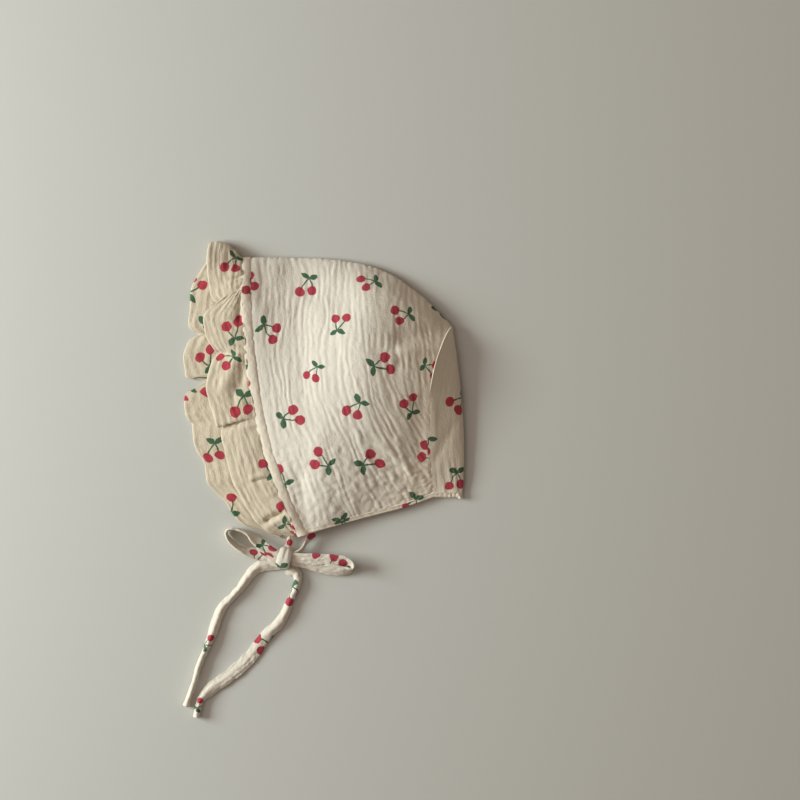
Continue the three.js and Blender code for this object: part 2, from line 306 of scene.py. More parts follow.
# paintedShade is a warm, darker tint that paints shade into the cloth's colour
gauze = {
    "cream": (0.81, 0.748, 0.635, 1), "deep": (0.75, 0.665, 0.53, 1),
    "red": (0.50, 0.022, 0.055, 1), "redDark": (0.37, 0.014, 0.035, 1),
    "green": (0.022, 0.125, 0.045, 1), "greenDark": (0.012, 0.075, 0.028, 1),
    "halo": (0.74, 0.40, 0.36, 1), "paintedShade": (0.965, 0.90, 0.79, 1),
    "roughness": 0.92, "specular": 0.18, "sheen": 0.15, "sheenRoughness": 0.6,
    "warpWide": 0.55, "weftWide": 0.6, "bump": 0.55, "bumpDeep": 0.9,
}
# places on the cherry pair, in millimetres from its middle: stems and leaves meet at the joint
pairPoints = {
    "middle": (0, 0), "joint": (0, 4.4), "leftCherry": (-3.85, -5.85), "rightCherry": (4, -3.45),
    "leaves": (2.5, 6.2), "between": (0, -4.65), "aboveLeaves": (0, 8.4), "besideCherry": (6.9, -3.45),
}
cherryPair = {
    "cherries": ["leftCherry", "rightCherry"], "radius": 3.2,
    "stem": 0.48, "bend": 0.5, "stemEnds": (-0.5, -2), "halo": 0.5, "haloSoft": 0.9,
    "leaves": [36, 163], "leafLong": 3.35, "leafWide": 1.85, "leafAway": 0.95,
}
bleed = 0.16  # softness of the printed edges, in millimetres


def length(tree, a, b):
    return calc(tree, "SQRT", calc(tree, "MULTIPLY_ADD", a, a, calc(tree, "MULTIPLY", b, b)))


def turned(tree, x, y, middle, angle):
    # along and across a line through middle
    c, s = math.cos(math.radians(angle)), math.sin(math.radians(angle))
    x, y = calc(tree, "SUBTRACT", x, middle[0]), calc(tree, "SUBTRACT", y, middle[1])
    along = calc(tree, "MULTIPLY_ADD", x, c, calc(tree, "MULTIPLY", y, s))
    return along, calc(tree, "SUBTRACT", calc(tree, "MULTIPLY", y, c), calc(tree, "MULTIPLY", x, s))


def wandered(tree, vector, cloth, scale, amount):
    # a place that strays a little, so that the print looks stamped by hand
    noise = noiseAt(tree, cloth, scale, 1, output="Color")
    centred = node(tree, "ShaderNodeVectorMath", {0: noise, 1: (0.5, 0.5, 0)}, operation="SUBTRACT")
    inputs = {0: centred.outputs[0], 1: (amount, amount, 0), 2: vector}
    return node(tree, "ShaderNodeVectorMath", inputs, operation="MULTIPLY_ADD").outputs[0]


def cherryMasks(tree):
    # a pair of cherries under two leaves, from the "print" map
    cloth = uvMap(tree, "cloth")
    place = wandered(tree, uvMap(tree, "print"), cloth, 0.9, 0.7)
    place = wandered(tree, place, cloth, 0.14, 2.4)
    x, y, _ = separated(tree, place)
    pair = cherryPair
    joint, wide, long = pairPoints["joint"], pair["leafWide"], pair["leafLong"]
    fruits, greens = [], []
    for cherry in pair["cherries"]:
        middle = pairPoints[cherry]
        away = length(tree, calc(tree, "SUBTRACT", x, middle[0]), calc(tree, "SUBTRACT", y, middle[1]))
        fruits.append(calc(tree, "SUBTRACT", away, pair["radius"]))
        stemLong = math.dist(joint, middle)
        angle = math.degrees(math.atan2(middle[1] - joint[1], middle[0] - joint[0]))
        along, off = turned(tree, x, y, joint, angle)
        share = calc(tree, "DIVIDE", along, stemLong)
        arch = calc(tree, "MULTIPLY", share, calc(tree, "SUBTRACT", 1, share))
        bow = calc(tree, "MULTIPLY", arch, 4 * pair["bend"] * (1 if middle[0] > 0 else -1))
        side = calc(tree, "ABSOLUTE", calc(tree, "SUBTRACT", off, bow))
        side = calc(tree, "SUBTRACT", side, pair["stem"])
        before = calc(tree, "SUBTRACT", pair["stemEnds"][0], along)
        past = calc(tree, "SUBTRACT", along, stemLong + pair["stemEnds"][1])
        greens.append(calc(tree, "MAXIMUM", side, calc(tree, "MAXIMUM", before, past)))
    arc = (long ** 2 + wide ** 2) / (2 * wide)
    for angle in pair["leaves"]:
        heading, away = math.radians(angle), long * pair["leafAway"]
        middle = (joint[0] + away * math.cos(heading), joint[1] + away * math.sin(heading))
        along, off = turned(tree, x, y, middle, angle)
        off = calc(tree, "ADD", calc(tree, "ABSOLUTE", off), arc - wide)
        greens.append(calc(tree, "SUBTRACT", length(tree, along, off), arc))
    fruit = calc(tree, "MINIMUM", *fruits)
    green = greens[0]
    for other in greens[1:]:
        green = calc(tree, "MINIMUM", green, other)
    halo = ramp(tree, calc(tree, "SUBTRACT", fruit, pair["halo"]), pair["haloSoft"], -pair["haloSoft"])
    return ramp(tree, fruit, bleed, -bleed), ramp(tree, green, bleed, -bleed), halo


def paintedShadeTowardsNape(tree, low, high):
    # painted shade: the cloth is painted warmer and darker towards the nape, where the back slopes away
    # from the light
    place = separated(tree, node(tree, "ShaderNodeTexCoord", {}).outputs["Object"])
    return ramp(tree, place[0], low * mm, high * mm)


def gauzeMaterial(name, paintedShade, puckers=1.0, paintedLightTone=1.0):
    # paintedShade is the share of the warm painted-shade tint: a constant, or the two places along x, in
    # millimetres, between which it grows
    material, tree, shader = newMaterial(name)
    cloth = uvMap(tree, "cloth")
    mottled = noiseAt(tree, stretched(tree, cloth, 0.16, 0.05), 1.0, 3.0, 0.6)
    slub = noiseAt(tree, stretched(tree, cloth, 1.5, 0.35), 1.0, 2.0, 0.6)
    fine = noiseAt(tree, cloth, 1.3, 2.0, 0.7)
    patch = calc(tree, "MULTIPLY_ADD", mottled, 0.7, calc(tree, "MULTIPLY", slub, 0.4))
    patch = calc(tree, "MULTIPLY_ADD", fine, 0.45, calc(tree, "SUBTRACT", patch, 0.15))
    # paintedLightTone darkens or lightens the cloth's own colours, making lit and shaded copies of one
    # cloth
    cream, deep = ((*(channel * paintedLightTone for channel in gauze[shade][:3]), 1) for shade in ("cream", "deep"))
    colour = mixColour(tree, calc(tree, "SUBTRACT", patch, 0.25, clamp=True), cream, deep)
    share = calc(tree, "MULTIPLY", paintedShadeTowardsNape(tree, *paintedShade), 0.6) if isinstance(paintedShade, tuple) else paintedShade
    # painted shade: the colour is multiplied by the warm, darker tint
    colour = mixColour(tree, share, colour, gauze["paintedShade"], "MULTIPLY")
    red, green, halo = cherryMasks(tree)
    worn = noiseAt(tree, cloth, 0.8, 3.0, 0.7)
    fruit = mixColour(tree, worn, gauze["red"], gauze["redDark"])
    blade = mixColour(tree, worn, gauze["green"], gauze["greenDark"])
    colour = mixColour(tree, calc(tree, "MULTIPLY", halo, 0.22), colour, gauze["halo"])
    colour = mixColour(tree, calc(tree, "MULTIPLY", green, 0.94), colour, blade)
    colour = mixColour(tree, calc(tree, "MULTIPLY", red, 0.95), colour, fruit)
    # weave, then the fine crepe of the two layers
    x, y, _ = separated(tree, cloth)
    warp = calc(tree, "SINE", calc(tree, "MULTIPLY", x, 2 * math.pi / gauze["warpWide"]))
    weft = calc(tree, "SINE", calc(tree, "MULTIPLY", y, 2 * math.pi / gauze["weftWide"]))
    weave = calc(tree, "MULTIPLY", warp, weft)
    crepe = noiseAt(tree, stretched(tree, cloth, 0.6, 0.25), 1.0, 3.0, 0.6)
    grain = noiseAt(tree, cloth, 1.0, 2.0, 0.6)
    height = calc(tree, "MULTIPLY_ADD", grain, 0.6, calc(tree, "MULTIPLY", weave, 0.03))
    height = calc(tree, "MULTIPLY_ADD", crepe, 0.4, height)
    inputs = {"Strength": gauze["bump"] * puckers, "Distance": gauze["bumpDeep"] * mm, "Height": height}
    bump = node(tree, "ShaderNodeBump", inputs)
    feed(tree, shader, {
        "Base Color": colour, "Normal": bump.outputs[0], "Roughness": gauze["roughness"],
        "Specular IOR Level": gauze["specular"], "Sheen Weight": gauze["sheen"],
        "Sheen Roughness": gauze["sheenRoughness"],
    })
    return material


def finishCloth(piece, material, replaced, angle=70):
    # cloth flattens where it rests on the surface
    spots = np.empty(len(piece.data.vertices) * 3)
    piece.data.vertices.foreach_get("co", spots)
    spots[2::3] = np.maximum(spots[2::3], 0)
    piece.data.vertices.foreach_set("co", spots)
    piece.data.update()
    chooseOnly(piece)
    bpy.ops.object.shade_smooth_by_angle(angle=math.radians(angle))
    piece.data.materials.clear()
    piece.data.materials.append(material)
    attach(piece, "root")
    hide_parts(replaced)
    return piece


# one cloth in lit and shaded copies: crown and back panel painted warmer and darker towards the nape,
# the ruffle painted in full warm shade and darker, the band and ties with less of the warm tint, the
# band a little lighter
crownGauze = gauzeMaterial("crown gauze", (15, 70))
ruffleGauze = gauzeMaterial("ruffle gauze", 1.0, 1.25, 0.9)
bandGauze = gauzeMaterial("band gauze", 0.5, 0.8, 1.04)
tieGauze = gauzeMaterial("tie gauze", 0.15, 1.2)
print("materials", len(bpy.data.materials))


# ties
tie = {
    "wide": 9.0, "leadWide": 5.0, "thick": 1.5, "rowLong": 0.75, "flats": 13, "rounds": 4,
    "gather": 0.3, "gatherLong": 11, "tuckLong": 2.5, "creaseSoft": 0.4, "creaseTop": 0.63,
    "hemAt": 0.38, "hemWide": 0.6, "hemDip": 0.25, "puff": 0.5, "puckers": 0.32, "sway": 0.35,
    "ragged": 0.1, "seed": 20,
}
# x, y, z as the tie lies, then its roll about its own line and how far it is creased
# into a roof along its middle, both in degrees
tieRoutes = {
    "upper_ear_lead": [
        (-8.6, -94.2, 4.6, 10, 0), (-10.6, -96.2, 4.8, 35, 0), (-12.2, -98.4, 5, 62, 0),
        (-13.6, -101, 5.2, 70, 0), (-15.6, -103.6, 5.4, 66, 0), (-18.2, -105.3, 5.4, 50, 0),
    ],
    "lower_ear_lead": [
        (-22.3, -96.4, 3.2, 12, 8), (-22.7, -97.8, 3.1, 12, 8), (-23.1, -99.3, 3, 12, 8),
        (-23.6, -100.8, 2.9, 12, 8),
    ],
    "left_loop": [
        (-31.4, -106.5, 9, -5, 0), (-35.6, -104, 8.8, -12, 0), (-41.2, -100.2, 8, -26, 0),
        (-45.6, -96.7, 7, -52, 0), (-50, -93.2, 6, -78, 0), (-55.6, -90.8, 5.4, -88, 0),
        (-60.6, -90, 5.4, -90, 0), (-63.6, -91.2, 5.4, -92, 0), (-64, -93.8, 5.4, -95, 0),
        (-61.4, -98, 5.4, -105, 0), (-56.7, -101.8, 5.3, -113, 0), (-51.9, -104.2, 5.2, -120, 0),
        (-46.3, -105.6, 5.4, -138, 0), (-40.8, -107.4, 6, -158, 0), (-36, -109.6, 6.8, -170, 0),
        (-32.2, -111, 7, -175, 0),
    ],
    "right_loop": [
        (-20.2, -108.6, 7.2, -10, 0), (-15, -109.2, 7.4, -12, 0), (-9, -109.8, 7.4, -14, 0),
        (-3, -110.2, 7.4, -16, 0), (3, -110.4, 7.4, -18, 0), (9, -110.8, 7.2, -24, 0),
        (13.4, -111.6, 6.6, -38, 0), (16.6, -113.2, 5.8, -62, 0), (17.2, -115.4, 5.2, -90, 0),
        (14.6, -117, 5, -118, 0), (9.4, -117.2, 5, -135, 0), (3.4, -116.4, 5, -145, 0),
        (-3, -115, 5, -150, 0), (-9, -113.4, 5, -155, 0), (-15, -112.2, 5.2, -158, 0),
        (-19.6, -111.4, 5.4, -160, 0),
    ],
    "left_tail": [
        (-31.6, -112.6, 1.2, 0, 15), (-38.7, -113.3, 0.9, 0, 30), (-43.9, -114.9, 0.9, 0, 38),
        (-47.8, -118, 0.9, 0, 44), (-51.7, -123, 0.9, 0, 50), (-55.3, -128, 0.9, 0, 56),
        (-59.5, -132.9, 0.9, 0, 60), (-63.7, -137.4, 0.9, 0, 54), (-67.6, -142.2, 0.9, 0, 48),
        (-70.2, -147.6, 0.9, 0, 46), (-72.2, -154, 0.9, 0, 52), (-74.3, -160.6, 0.9, 0, 60),
        (-77.2, -167.9, 0.9, 0, 68), (-80.6, -175.8, 0.9, 0, 71), (-83.5, -184, 0.9, 0, 71),
        (-86.1, -191.8, 0.9, 0, 70), (-88.6, -199.4, 0.9, 0, 68), (-90.6, -205.4, 0.9, 0, 62),
    ],
    "right_tail": [
        (-23.4, -116.6, 1.4, 0, 30), (-19, -119, 0.9, 0, 48), (-17.8, -123.6, 0.9, 0, 60),
        (-19.5, -129.4, 0.9, 0, 62), (-22.1, -135.2, 0.9, 0, 62), (-24.4, -140.7, 0.9, 0, 58),
        (-27.3, -146.9, 0.9, 0, 48), (-31.5, -152.6, 0.9, 0, 42), (-37.1, -157.6, 0.9, 0, 34),
        (-41.9, -163.4, 0.9, 0, 24), (-45.8, -170, 0.9, 0, 14), (-51.4, -176.5, 0.9, 0, 12),
        (-58.8, -183, 0.9, 0, 14), (-67.3, -189.2, 0.9, 0, 20), (-75.1, -194.8, 0.9, 0, 34),
        (-80.2, -199.4, 0.9, 0, 55), (-82.4, -205.4, 0.9, 0, 64), (-83.7, -212.6, 0.9, 0, 66),
    ],
}
tieChart = {
    "upper_ear_lead": [{"x": -8.6, "y": -94.2, "turn": 60, "point": "rightCherry"}],
    "lower_ear_lead": [{"x": -23.2, "y": -99.4, "turn": 63, "point": "rightCherry", "size": 0.62}],
    "left_loop": [
        {"x": -37.6, "y": -101.6, "turn": 136, "size": 0.78},
        {"x": -46.6, "y": -104, "turn": -105, "point": "rightCherry", "size": 0.85},
    ],
    "right_loop": [
        {"x": 9.1, "y": -111.2, "turn": 215, "point": "between", "size": 0.95},
        {"x": -6.8, "y": -106.3, "turn": 110, "point": "leftCherry", "size": 0.9},
    ],
    "left_tail": [{"x": -73.6, "y": -160.6, "turn": -160, "point": "rightCherry", "size": 0.7}],
    "right_tail": [
        {"x": -23.8, "y": -138.3, "turn": 100, "point": "leftCherry", "size": 0.95},
        {"x": -43.4, "y": -165.6, "turn": 5, "point": "between", "size": 0.95},
        {"x": -81.2, "y": -200.5, "turn": -150, "point": "rightCherry", "size": 0.6},
    ],
}
# how far each end runs on under the knot or the bonnet
tieTucks = {
    "upper_ear_lead": (2, 3.2), "lower_ear_lead": (3.4, 2.2), "left_loop": (2.5, 2.2),
    "right_loop": (2.4, 2.4), "left_tail": (2.2, 0), "right_tail": (1.5, 0),
}
liftedTies = ("left_tail", "right_tail")  # these rest on their edges, so a crease lifts them


def tieFrames(name, rows):
    x, y, z, roll, roof = smoothThrough(tieRoutes[name], np.linspace(0, 1, rows + 1)).T
    path = np.stack([x, y, z], axis=1)
    heading = unit(np.gradient(path, axis=0))
    side = unit(np.cross(heading, [0, 0, 1]))
    up = np.cross(side, heading)
    roll, roof = np.radians(roll), np.radians(roof)
    if name in liftedTies:
        path[:, 2] += tie["wide"] / 2 * (np.sin(roof) + np.abs(np.sin(roll))) * 0.9
    turnedSide = side * np.cos(roll)[:, None] + up * np.sin(roll)[:, None]
    turnedUp = up * np.cos(roll)[:, None] - side * np.sin(roll)[:, None]
    return path, turnedSide, turnedUp, roof


def tieProfile(flats, rounds):
    # once round a flat tie: its upper face, one edge, its lower face and the other edge
    face = np.linspace(1, -1, flats + 1)
    edge = np.linspace(0, math.pi, rounds + 1)[1:-1]
    across = np.concatenate([face, -1 + 0 * edge, -face, 1 + 0 * edge, [1]])
    beyond = np.concatenate([0 * face, -np.sin(edge), 0 * face, np.sin(edge), [0]])
    height = np.concatenate([1 + 0 * face, np.cos(edge), -1 + 0 * face, -np.cos(edge), [1]])
    return across, beyond, height


def makeTie(name, seed):
    length = lengthsAlong(np.array(tieRoutes[name])[:, :3])[-1]
    rows = max(12, int(length / tie["rowLong"]))
    columns = 2 * (tie["flats"] + tie["rounds"])
    path, side, up, roof = tieFrames(name, rows)
    piece, across, along = gridSheet("tie_" + name + "_cloth", columns, rows)
    row = np.rint(along * rows).astype(int)
    column = np.rint(across * columns).astype(int)
    share, beyond, face = (part[column] for part in tieProfile(tie["flats"], tie["rounds"]))
    distance = lengthsAlong(path)
    far = distance[row]
    toEnd = distance[-1] - far
    wide, thick = tie["leadWide"] if name.endswith("lead") else tie["wide"], tie["thick"]
    ragged = 1 + tie["ragged"] * softNoise(far, share, 3.5, 3, seed + 3)
    aside = (share * (wide - thick) + beyond * thick) / 2 * ragged
    if name.endswith("loop"):
        reach = tie["gatherLong"]
        aside = aside * (1 - tie["gather"] * hump(far, reach) - tie["gather"] * hump(toEnd, reach))
    start, end = tieTucks[name]
    tuck = end * hump(toEnd, tie["tuckLong"]) - start * hump(far, tie["tuckLong"])
    ahead = unit(np.gradient(path, axis=0))[row]
    puff = tie["puff"] * crinkled(aside * 1.3, far, seed)
    puff += tie["puckers"] * softNoise(far, aside, 2.2, 1.5, seed + 1)
    hem = hump(np.abs(aside) - wide * tie["hemAt"], tie["hemWide"])
    half = thick / 2 * (1 - tie["hemDip"] * hem) + puff
    # the crease is soft at its top
    ridge = np.sqrt(aside * aside + tie["creaseSoft"])
    slope = roof[row] * aside / ridge
    sway = tie["sway"] * softNoise(far, aside * 0, 9, 9, seed + 2)
    sideways = aside * np.cos(roof[row]) + sway + face * half * np.sin(slope)
    upwards = face * half * np.cos(slope) - (ridge - tie["creaseTop"]) * np.sin(roof[row])
    points = path[row] + side[row] * sideways[:, None] + ahead * tuck[:, None]
    points += up[row] * upwards[:, None]
    putVertices(piece, points)
    chartPrint(piece, np.where(face < 0, tie["wide"] - aside, aside), far, points, tieChart[name])
    editWhole(piece, mergeDoubles, fillHoles, faceOutwards)
    return finishCloth(piece, tieGauze, "tie_" + name), path * mm


knot = {
    "middle": (-26.6, -109, 5.8), "tall": 7.2, "deep": 5.4, "top": 4.3, "bottom": 4.7, "lean": 16,
    "wall": 1.3, "pinch": 0.22, "pleat": 0.3, "columns": 22, "rows": 72,
}
knotChart = [{"x": -26.6, "y": -114.6, "turn": 94, "point": "leaves", "size": 0.9}]


def makeKnot():
    piece, across, along = gridSheet("tie_knot_cloth", knot["columns"], knot["rows"])
    turn = along * 2 * math.pi
    over = across * 2 - 1
    halfWide = knot["top"] + (knot["bottom"] - knot["top"]) * (0.5 - 0.5 * np.sin(turn))
    pleat = knot["pleat"] * softNoise(over * 4.5, turn * 3, 1.7, 7, 11) * (1 - over ** 4)
    swell = 1 - knot["pinch"] * over ** 4
    y = (knot["tall"] * swell + pleat) * np.sin(turn)
    z = (knot["deep"] * swell + pleat) * np.cos(turn)
    lean = math.radians(knot["lean"])
    x = over * halfWide * math.cos(lean) + y * math.sin(lean)
    y = y * math.cos(lean) - over * halfWide * math.sin(lean)
    points = np.stack([x, y, z], axis=1) + knot["middle"]
    putVertices(piece, points)
    chartPrint(piece, over * halfWide, turn * 6, points, knotChart)
    editWhole(piece, mergeDoubles, faceOutwards)
    giveWall(piece, knot["wall"], -1)
    return finishCloth(piece, tieGauze, "tie_knot")


knotPiece = makeKnot()
tiePieces = {name: makeTie(name, tie["seed"] + 3 * i) for i, name in enumerate(tieRoutes)}
print("ties", len(tiePieces))


# crown
# one row for each section along the grain, from the face seam to the back seam: the
# four control points of its upper side's curve
crownRows = [
    {"neck": (-13.2, -90.4, 10.5), "low": (-44.5, -33.8, 12),
     "high": (-48, 28.9, 13.5), "top": (-48.4, 85.4, 9.5)},
    {"neck": (3.8, -85.8, 8), "low": (-20, -30.1, 24.5),
     "high": (-25, 27.5, 9.5), "top": (-19.2, 85.4, 5)},
    {"neck": (19.9, -81.2, 6.6), "low": (3.5, -27.5, 28),
     "high": (-4, 27.5, 21), "top": (9.8, 83.6, 6)},
    {"neck": (36.2, -77, 5.8), "low": (25.7, -26.8, 20.5),
     "high": (14, 23.9, 39), "top": (37, 77.2, 6.5)},
    {"neck": (52.3, -72.6, 5.2), "low": (46, -35, 15),
     "high": (40, 16, 36), "top": (62.2, 60.8, 7)},
    {"neck": (69.9, -66.4, 4.6), "low": (66, -38, 13),
     "high": (63.2, 10, 26), "top": (82, 41, 7.5)},
]
crown = {
    "foldShare": 0.08, "rest": 0.6, "earShift": 8, "depth": 138, "tall": 178, "wall": 0.95,
    "columns": 172, "rows": 226, "crinkle": 0.66, "calmSeam": 12, "calm": 0.45,
    "crossHigh": 0.06, "crossLow": 0.3, "swell": 0.3, "seamDip": 0.35, "seamWide": 1.6,
    "grainTurn": -5, "grainSoft": 15, "grainLean": 0.44, "grainSpread": 0.004,
}
# soft ridges and valleys of the upper side, from one end of each to the other
crownFolds = [
    {"from": (-4, 62), "to": (16, 56), "width": 10, "height": -1.5},
    {"from": (24, -4), "to": (30, -22), "width": 6, "height": 0.4},
    {"from": (-17, -57), "to": (-12, -88), "width": 6, "height": -1.5},
    {"from": (-5, -34), "to": (-1, -75), "width": 8, "height": 1.2},
    {"from": (-14, 50), "to": (-14, -5), "width": 7, "height": -0.7},
    {"from": (-41, 82), "to": (-41.5, 60), "width": 4.5, "height": -0.9},
    {"from": (76, 38), "to": (50, 34), "width": 6, "height": -2.2},
    {"from": (79, 27), "to": (50, 26), "width": 3, "height": 1.2},
    {"from": (62, 17), "to": (48, 18), "width": 3, "height": -0.9},
    {"from": (64, -10), "to": (62, -36), "width": 9, "height": -1.8},
    {"from": (38, -36), "to": (58, -56), "width": 2.4, "height": 0.8},
    {"from": (46, -32), "to": (53, -50), "width": 2, "height": 0.6},
    {"from": (21, -27), "to": (30, -50), "width": 2.2, "height": 0.6},
]
flatShare = (1 - crown["foldShare"]) / (1 - crown["foldShare"] + crown["foldShare"] * math.pi / 2)


def foldLifts(x, y, folds):
    total = np.zeros_like(x)
    for fold in folds:
        dx, dy = fold["to"][0] - fold["from"][0], fold["to"][1] - fold["from"][1]
        length = math.hypot(dx, dy)
        px, py = x - fold["from"][0], y - fold["from"][1]
        along = (px * dx + py * dy) / length
        beyond = np.maximum(0, np.maximum(-along, along - length))
        beside = (px * dy - py * dx) / length
        total += fold["height"] * np.exp(-(beside ** 2 + beyond ** 2) / fold["width"] ** 2)
    return total


def sectionPlace(girth):
    side = np.where(girth <= 1, girth, 2 - girth)
    turn = np.maximum(side - flatShare, 0) / (1 - flatShare) * math.pi / 2
    level = side / flatShare * (1 - crown["foldShare"])
    place = np.where(side > flatShare, 1 - crown["foldShare"] * (1 - np.sin(turn)), level)
    return place, turn


def crownPoint(across, girth):
    place, turn = sectionPlace(girth)
    names = "neck", "low", "high", "top"
    controls = [smoothThrough([row[name] for row in crownRows], across) for name in names]
    point = cubic(controls, place[:, None])
    lip = controls[3][:, 2] / 2
    upper = girth <= 1
    raised = lip + (point[:, 2] + foldLifts(point[:, 0], point[:, 1], crownFolds) - lip) * np.cos(turn)
    point[:, 2] = np.where(upper, raised, lip - (lip - crown["rest"]) * np.cos(turn))
    point[:, 0] -= np.where(upper, 0, crown["earShift"] * (1 - across) * (1 - place ** 2))
    return point


def grainAcross(x, y):
    # the grain stands straight on the upper part and leans to the nape below it
    above = y - crown["grainTurn"]
    depth = (np.hypot(above, crown["grainSoft"]) - above) / 2
    return (x - crown["grainLean"] * depth) / (1 + crown["grainSpread"] * depth)


def girthOf(along):
    # the upper side has 70% of the rows, because its crinkle is seen, and the fold 14%
    upper, over = 0.70, 0.84
    fold = flatShare + (along - upper) / (over - upper) * 2 * (1 - flatShare)
    lower = 2 - flatShare + (along - over) / (1 - over) * flatShare
    return np.where(along < upper, along / upper * flatShare, np.where(along < over, fold, lower))


crownChart = [
    {"x": -12.5, "y": 68.3, "turn": 74, "size": 0.95},
    {"x": 28.8, "y": 70.5, "turn": 8, "size": 0.85},
    {"x": 51.2, "y": 48.5, "turn": 4, "size": 0.88},
    {"x": -35.8, "y": 39.8, "turn": 143},
    {"x": 9, "y": 43, "turn": -105, "size": 0.9},
    {"x": -7.5, "y": 11.9, "turn": 58, "size": 0.82},
    {"x": 36.4, "y": 16.4, "turn": -170, "size": 1.02},
    {"x": -23.7, "y": -17.1, "turn": -164},
    {"x": 19.8, "y": -12.3, "turn": 51, "size": 0.95},
    {"x": 55.9, "y": -10.9, "turn": -72, "size": 0.9},
    {"x": -2.4, "y": -46.7, "turn": -33, "size": 1.02},
    {"x": 28.4, "y": -47.3, "turn": -152},
    {"x": 72.7, "y": 50.6, "turn": -135, "point": "aboveLeaves"},
    {"x": 64.4, "y": -40, "turn": -30, "point": "between"},
    {"x": 73.4, "y": 9.4, "turn": 152, "point": "leftCherry", "size": 0.8},
    {"x": -26.7, "y": -61.1, "turn": -45, "point": "joint"},
    {"x": -46.8, "y": 70.9, "turn": 180, "point": "between", "size": 0.9},
    {"x": 12.4, "y": -86.5, "turn": 100, "point": "joint"},
    {"x": 59.5, "y": -70.2, "turn": 60, "point": "joint", "size": 0.85},
]


def spareMotifs(left, right, low, high, stepX, stepY, seed):
    # a loose staggered scatter for the sides that lie out of sight
    rng = np.random.default_rng(seed)
    stray = 3
    made = []
    for row, y in enumerate(np.arange(low, high, stepY)):
        for x in np.arange(left + (row % 2) * stepX / 2, right, stepX):
            place = x + rng.uniform(-stray, stray), y + rng.uniform(-stray, stray)
            made.append((*place, rng.uniform(0, 360)))
    return made


def makeCrown():
    columns, rows = crown["columns"], crown["rows"]
    piece, across, along = gridSheet("crown_cloth", columns, rows)
    girth = girthOf(along)
    base = crownPoint(across, girth)
    normals = gridNormals(base, rows, columns)
    x, y = grainAcross(base[:, 0], base[:, 1]), girth * crown["tall"]
    toSeam = np.minimum(across, 1 - across) * crown["depth"]
    # the crinkle is calmer at the seams, and crossed by puckers towards the neck
    lively = crown["calm"] + (1 - crown["calm"]) * softStep(toSeam, 0, crown["calmSeam"])
    lift = crown["crinkle"] * crinkled(x, y, 3) * lively
    low = 1 - softStep(y, 20, 75)
    lift += (crown["crossHigh"] + crown["crossLow"] * low) * softNoise(x, y, 2.5, 2.3, 9)
    lift += crown["swell"] * softNoise(x, y, 11, 24, 12)
    lift -= crown["seamDip"] * hump(toSeam, crown["seamWide"])
    putVertices(piece, base + normals * lift[:, None])
    hidden = spareMotifs(-50, 80, 205, 350, 42, 28, 5)
    chartPrint(piece, x, y, base, crownChart, hidden)
    giveWall(piece, crown["wall"])
    return finishCloth(piece, crownGauze, "crown", 60)


crownPiece = makeCrown()
print("crown", len(crownPiece.data.polygons))


# back panel
panel = {
    "fold": [(88.5, -66.6), (91, -40), (89.3, -4), (82, 41)], "foldNeck": 2.6, "foldTop": 3.2,
    "under": 1.2, "columns": 84, "rows": 78, "wall": 0.95, "wide": 56, "tall": 96, "tip": 0.995,
    "crinkle": 0.22, "nape": 0.4, "seamDip": (0.5, 0.08), "seamWide": 1.5,
}


def panelPoint(turn, girth, inset=0.4):
    count = len(girth)
    upper, lower = crownPoint(np.ones(count), girth), crownPoint(np.ones(count), 2 - girth)
    place, _ = sectionPlace(girth)
    corners = [np.tile((*corner, 0.0), (count, 1)) for corner in panel["fold"]]
    fold = cubic(corners, place[:, None])
    fold[:, 2] = panel["foldNeck"] + (panel["foldTop"] - panel["foldNeck"]) * place
    first = (turn <= 1)[:, None]
    edge = np.where(first, upper, lower)
    away = np.linalg.norm(edge - fold, axis=1, keepdims=True)
    start = edge + (fold - edge) * np.minimum(inset / np.maximum(away, 1e-6), 0.5)
    climb = start[:, 2:] - fold[:, 2:]
    seamHandle = (start + fold) / 2
    seamHandle[:, 2:] = fold[:, 2:] + climb * np.where(first, 0.5, 1)
    foldHandle = fold.copy()
    foldHandle[:, 2:] += climb * 0.4
    t = np.where(turn <= 1, turn, 2 - turn)[:, None]
    return cubic([start, seamHandle, foldHandle, fold], t)


panelFolds = [
    {"from": (83, -23), "to": (69.5, -48), "width": 3, "height": -0.5},
    {"from": (70, -8), "to": (71, -30), "width": 2.4, "height": 0.3},
]
panelChart = [
    {"x": 87.3, "y": -8.2, "turn": 52},
    {"x": 85.5, "y": -57.5, "turn": 80, "size": 0.9},
    {"x": 70.3, "y": -31.2, "turn": 54, "point": "leaves"},
]


def makePanel():
    columns, rows = panel["columns"], panel["rows"]
    piece, across, along = gridSheet("back_panel_cloth", columns, rows)
    turn = across * 2
    girth = np.minimum(along, panel["tip"])
    base = panelPoint(turn, girth, -panel["under"])
    normals = gridNormals(base, rows, columns)
    steps = np.linalg.norm(np.diff(base.reshape(rows + 1, columns + 1, 3), axis=1), axis=2)
    x, y = np.insert(np.cumsum(steps, axis=1), 0, 0, axis=1).ravel(), along * panel["tall"]
    nape = 1 - softStep(y, 4, 30)
    lift = panel["crinkle"] * crinkled(x, y, 31)
    lift += foldLifts(base[:, 0], base[:, 1], panelFolds) * (turn < 1)
    lift += nape * panel["nape"] * softNoise(x, y, 1.7, 16, 34)
    # the seam is sunk least towards its top
    deep, shallow = panel["seamDip"]
    seamDip = deep - (deep - shallow) * softStep(y, 45, 68)
    lift -= seamDip * hump(np.minimum(across, 1 - across) * panel["wide"], panel["seamWide"])
    putVertices(piece, base + normals * lift[:, None])
    chartPrint(piece, x, y, base, panelChart, [(34, 60, 120), (38, 20, 250)])
    giveWall(piece, panel["wall"])
    return finishCloth(piece, crownGauze, "back_panel", 60)


panelPiece = makePanel()
print("back panel", len(panelPiece.data.polygons))


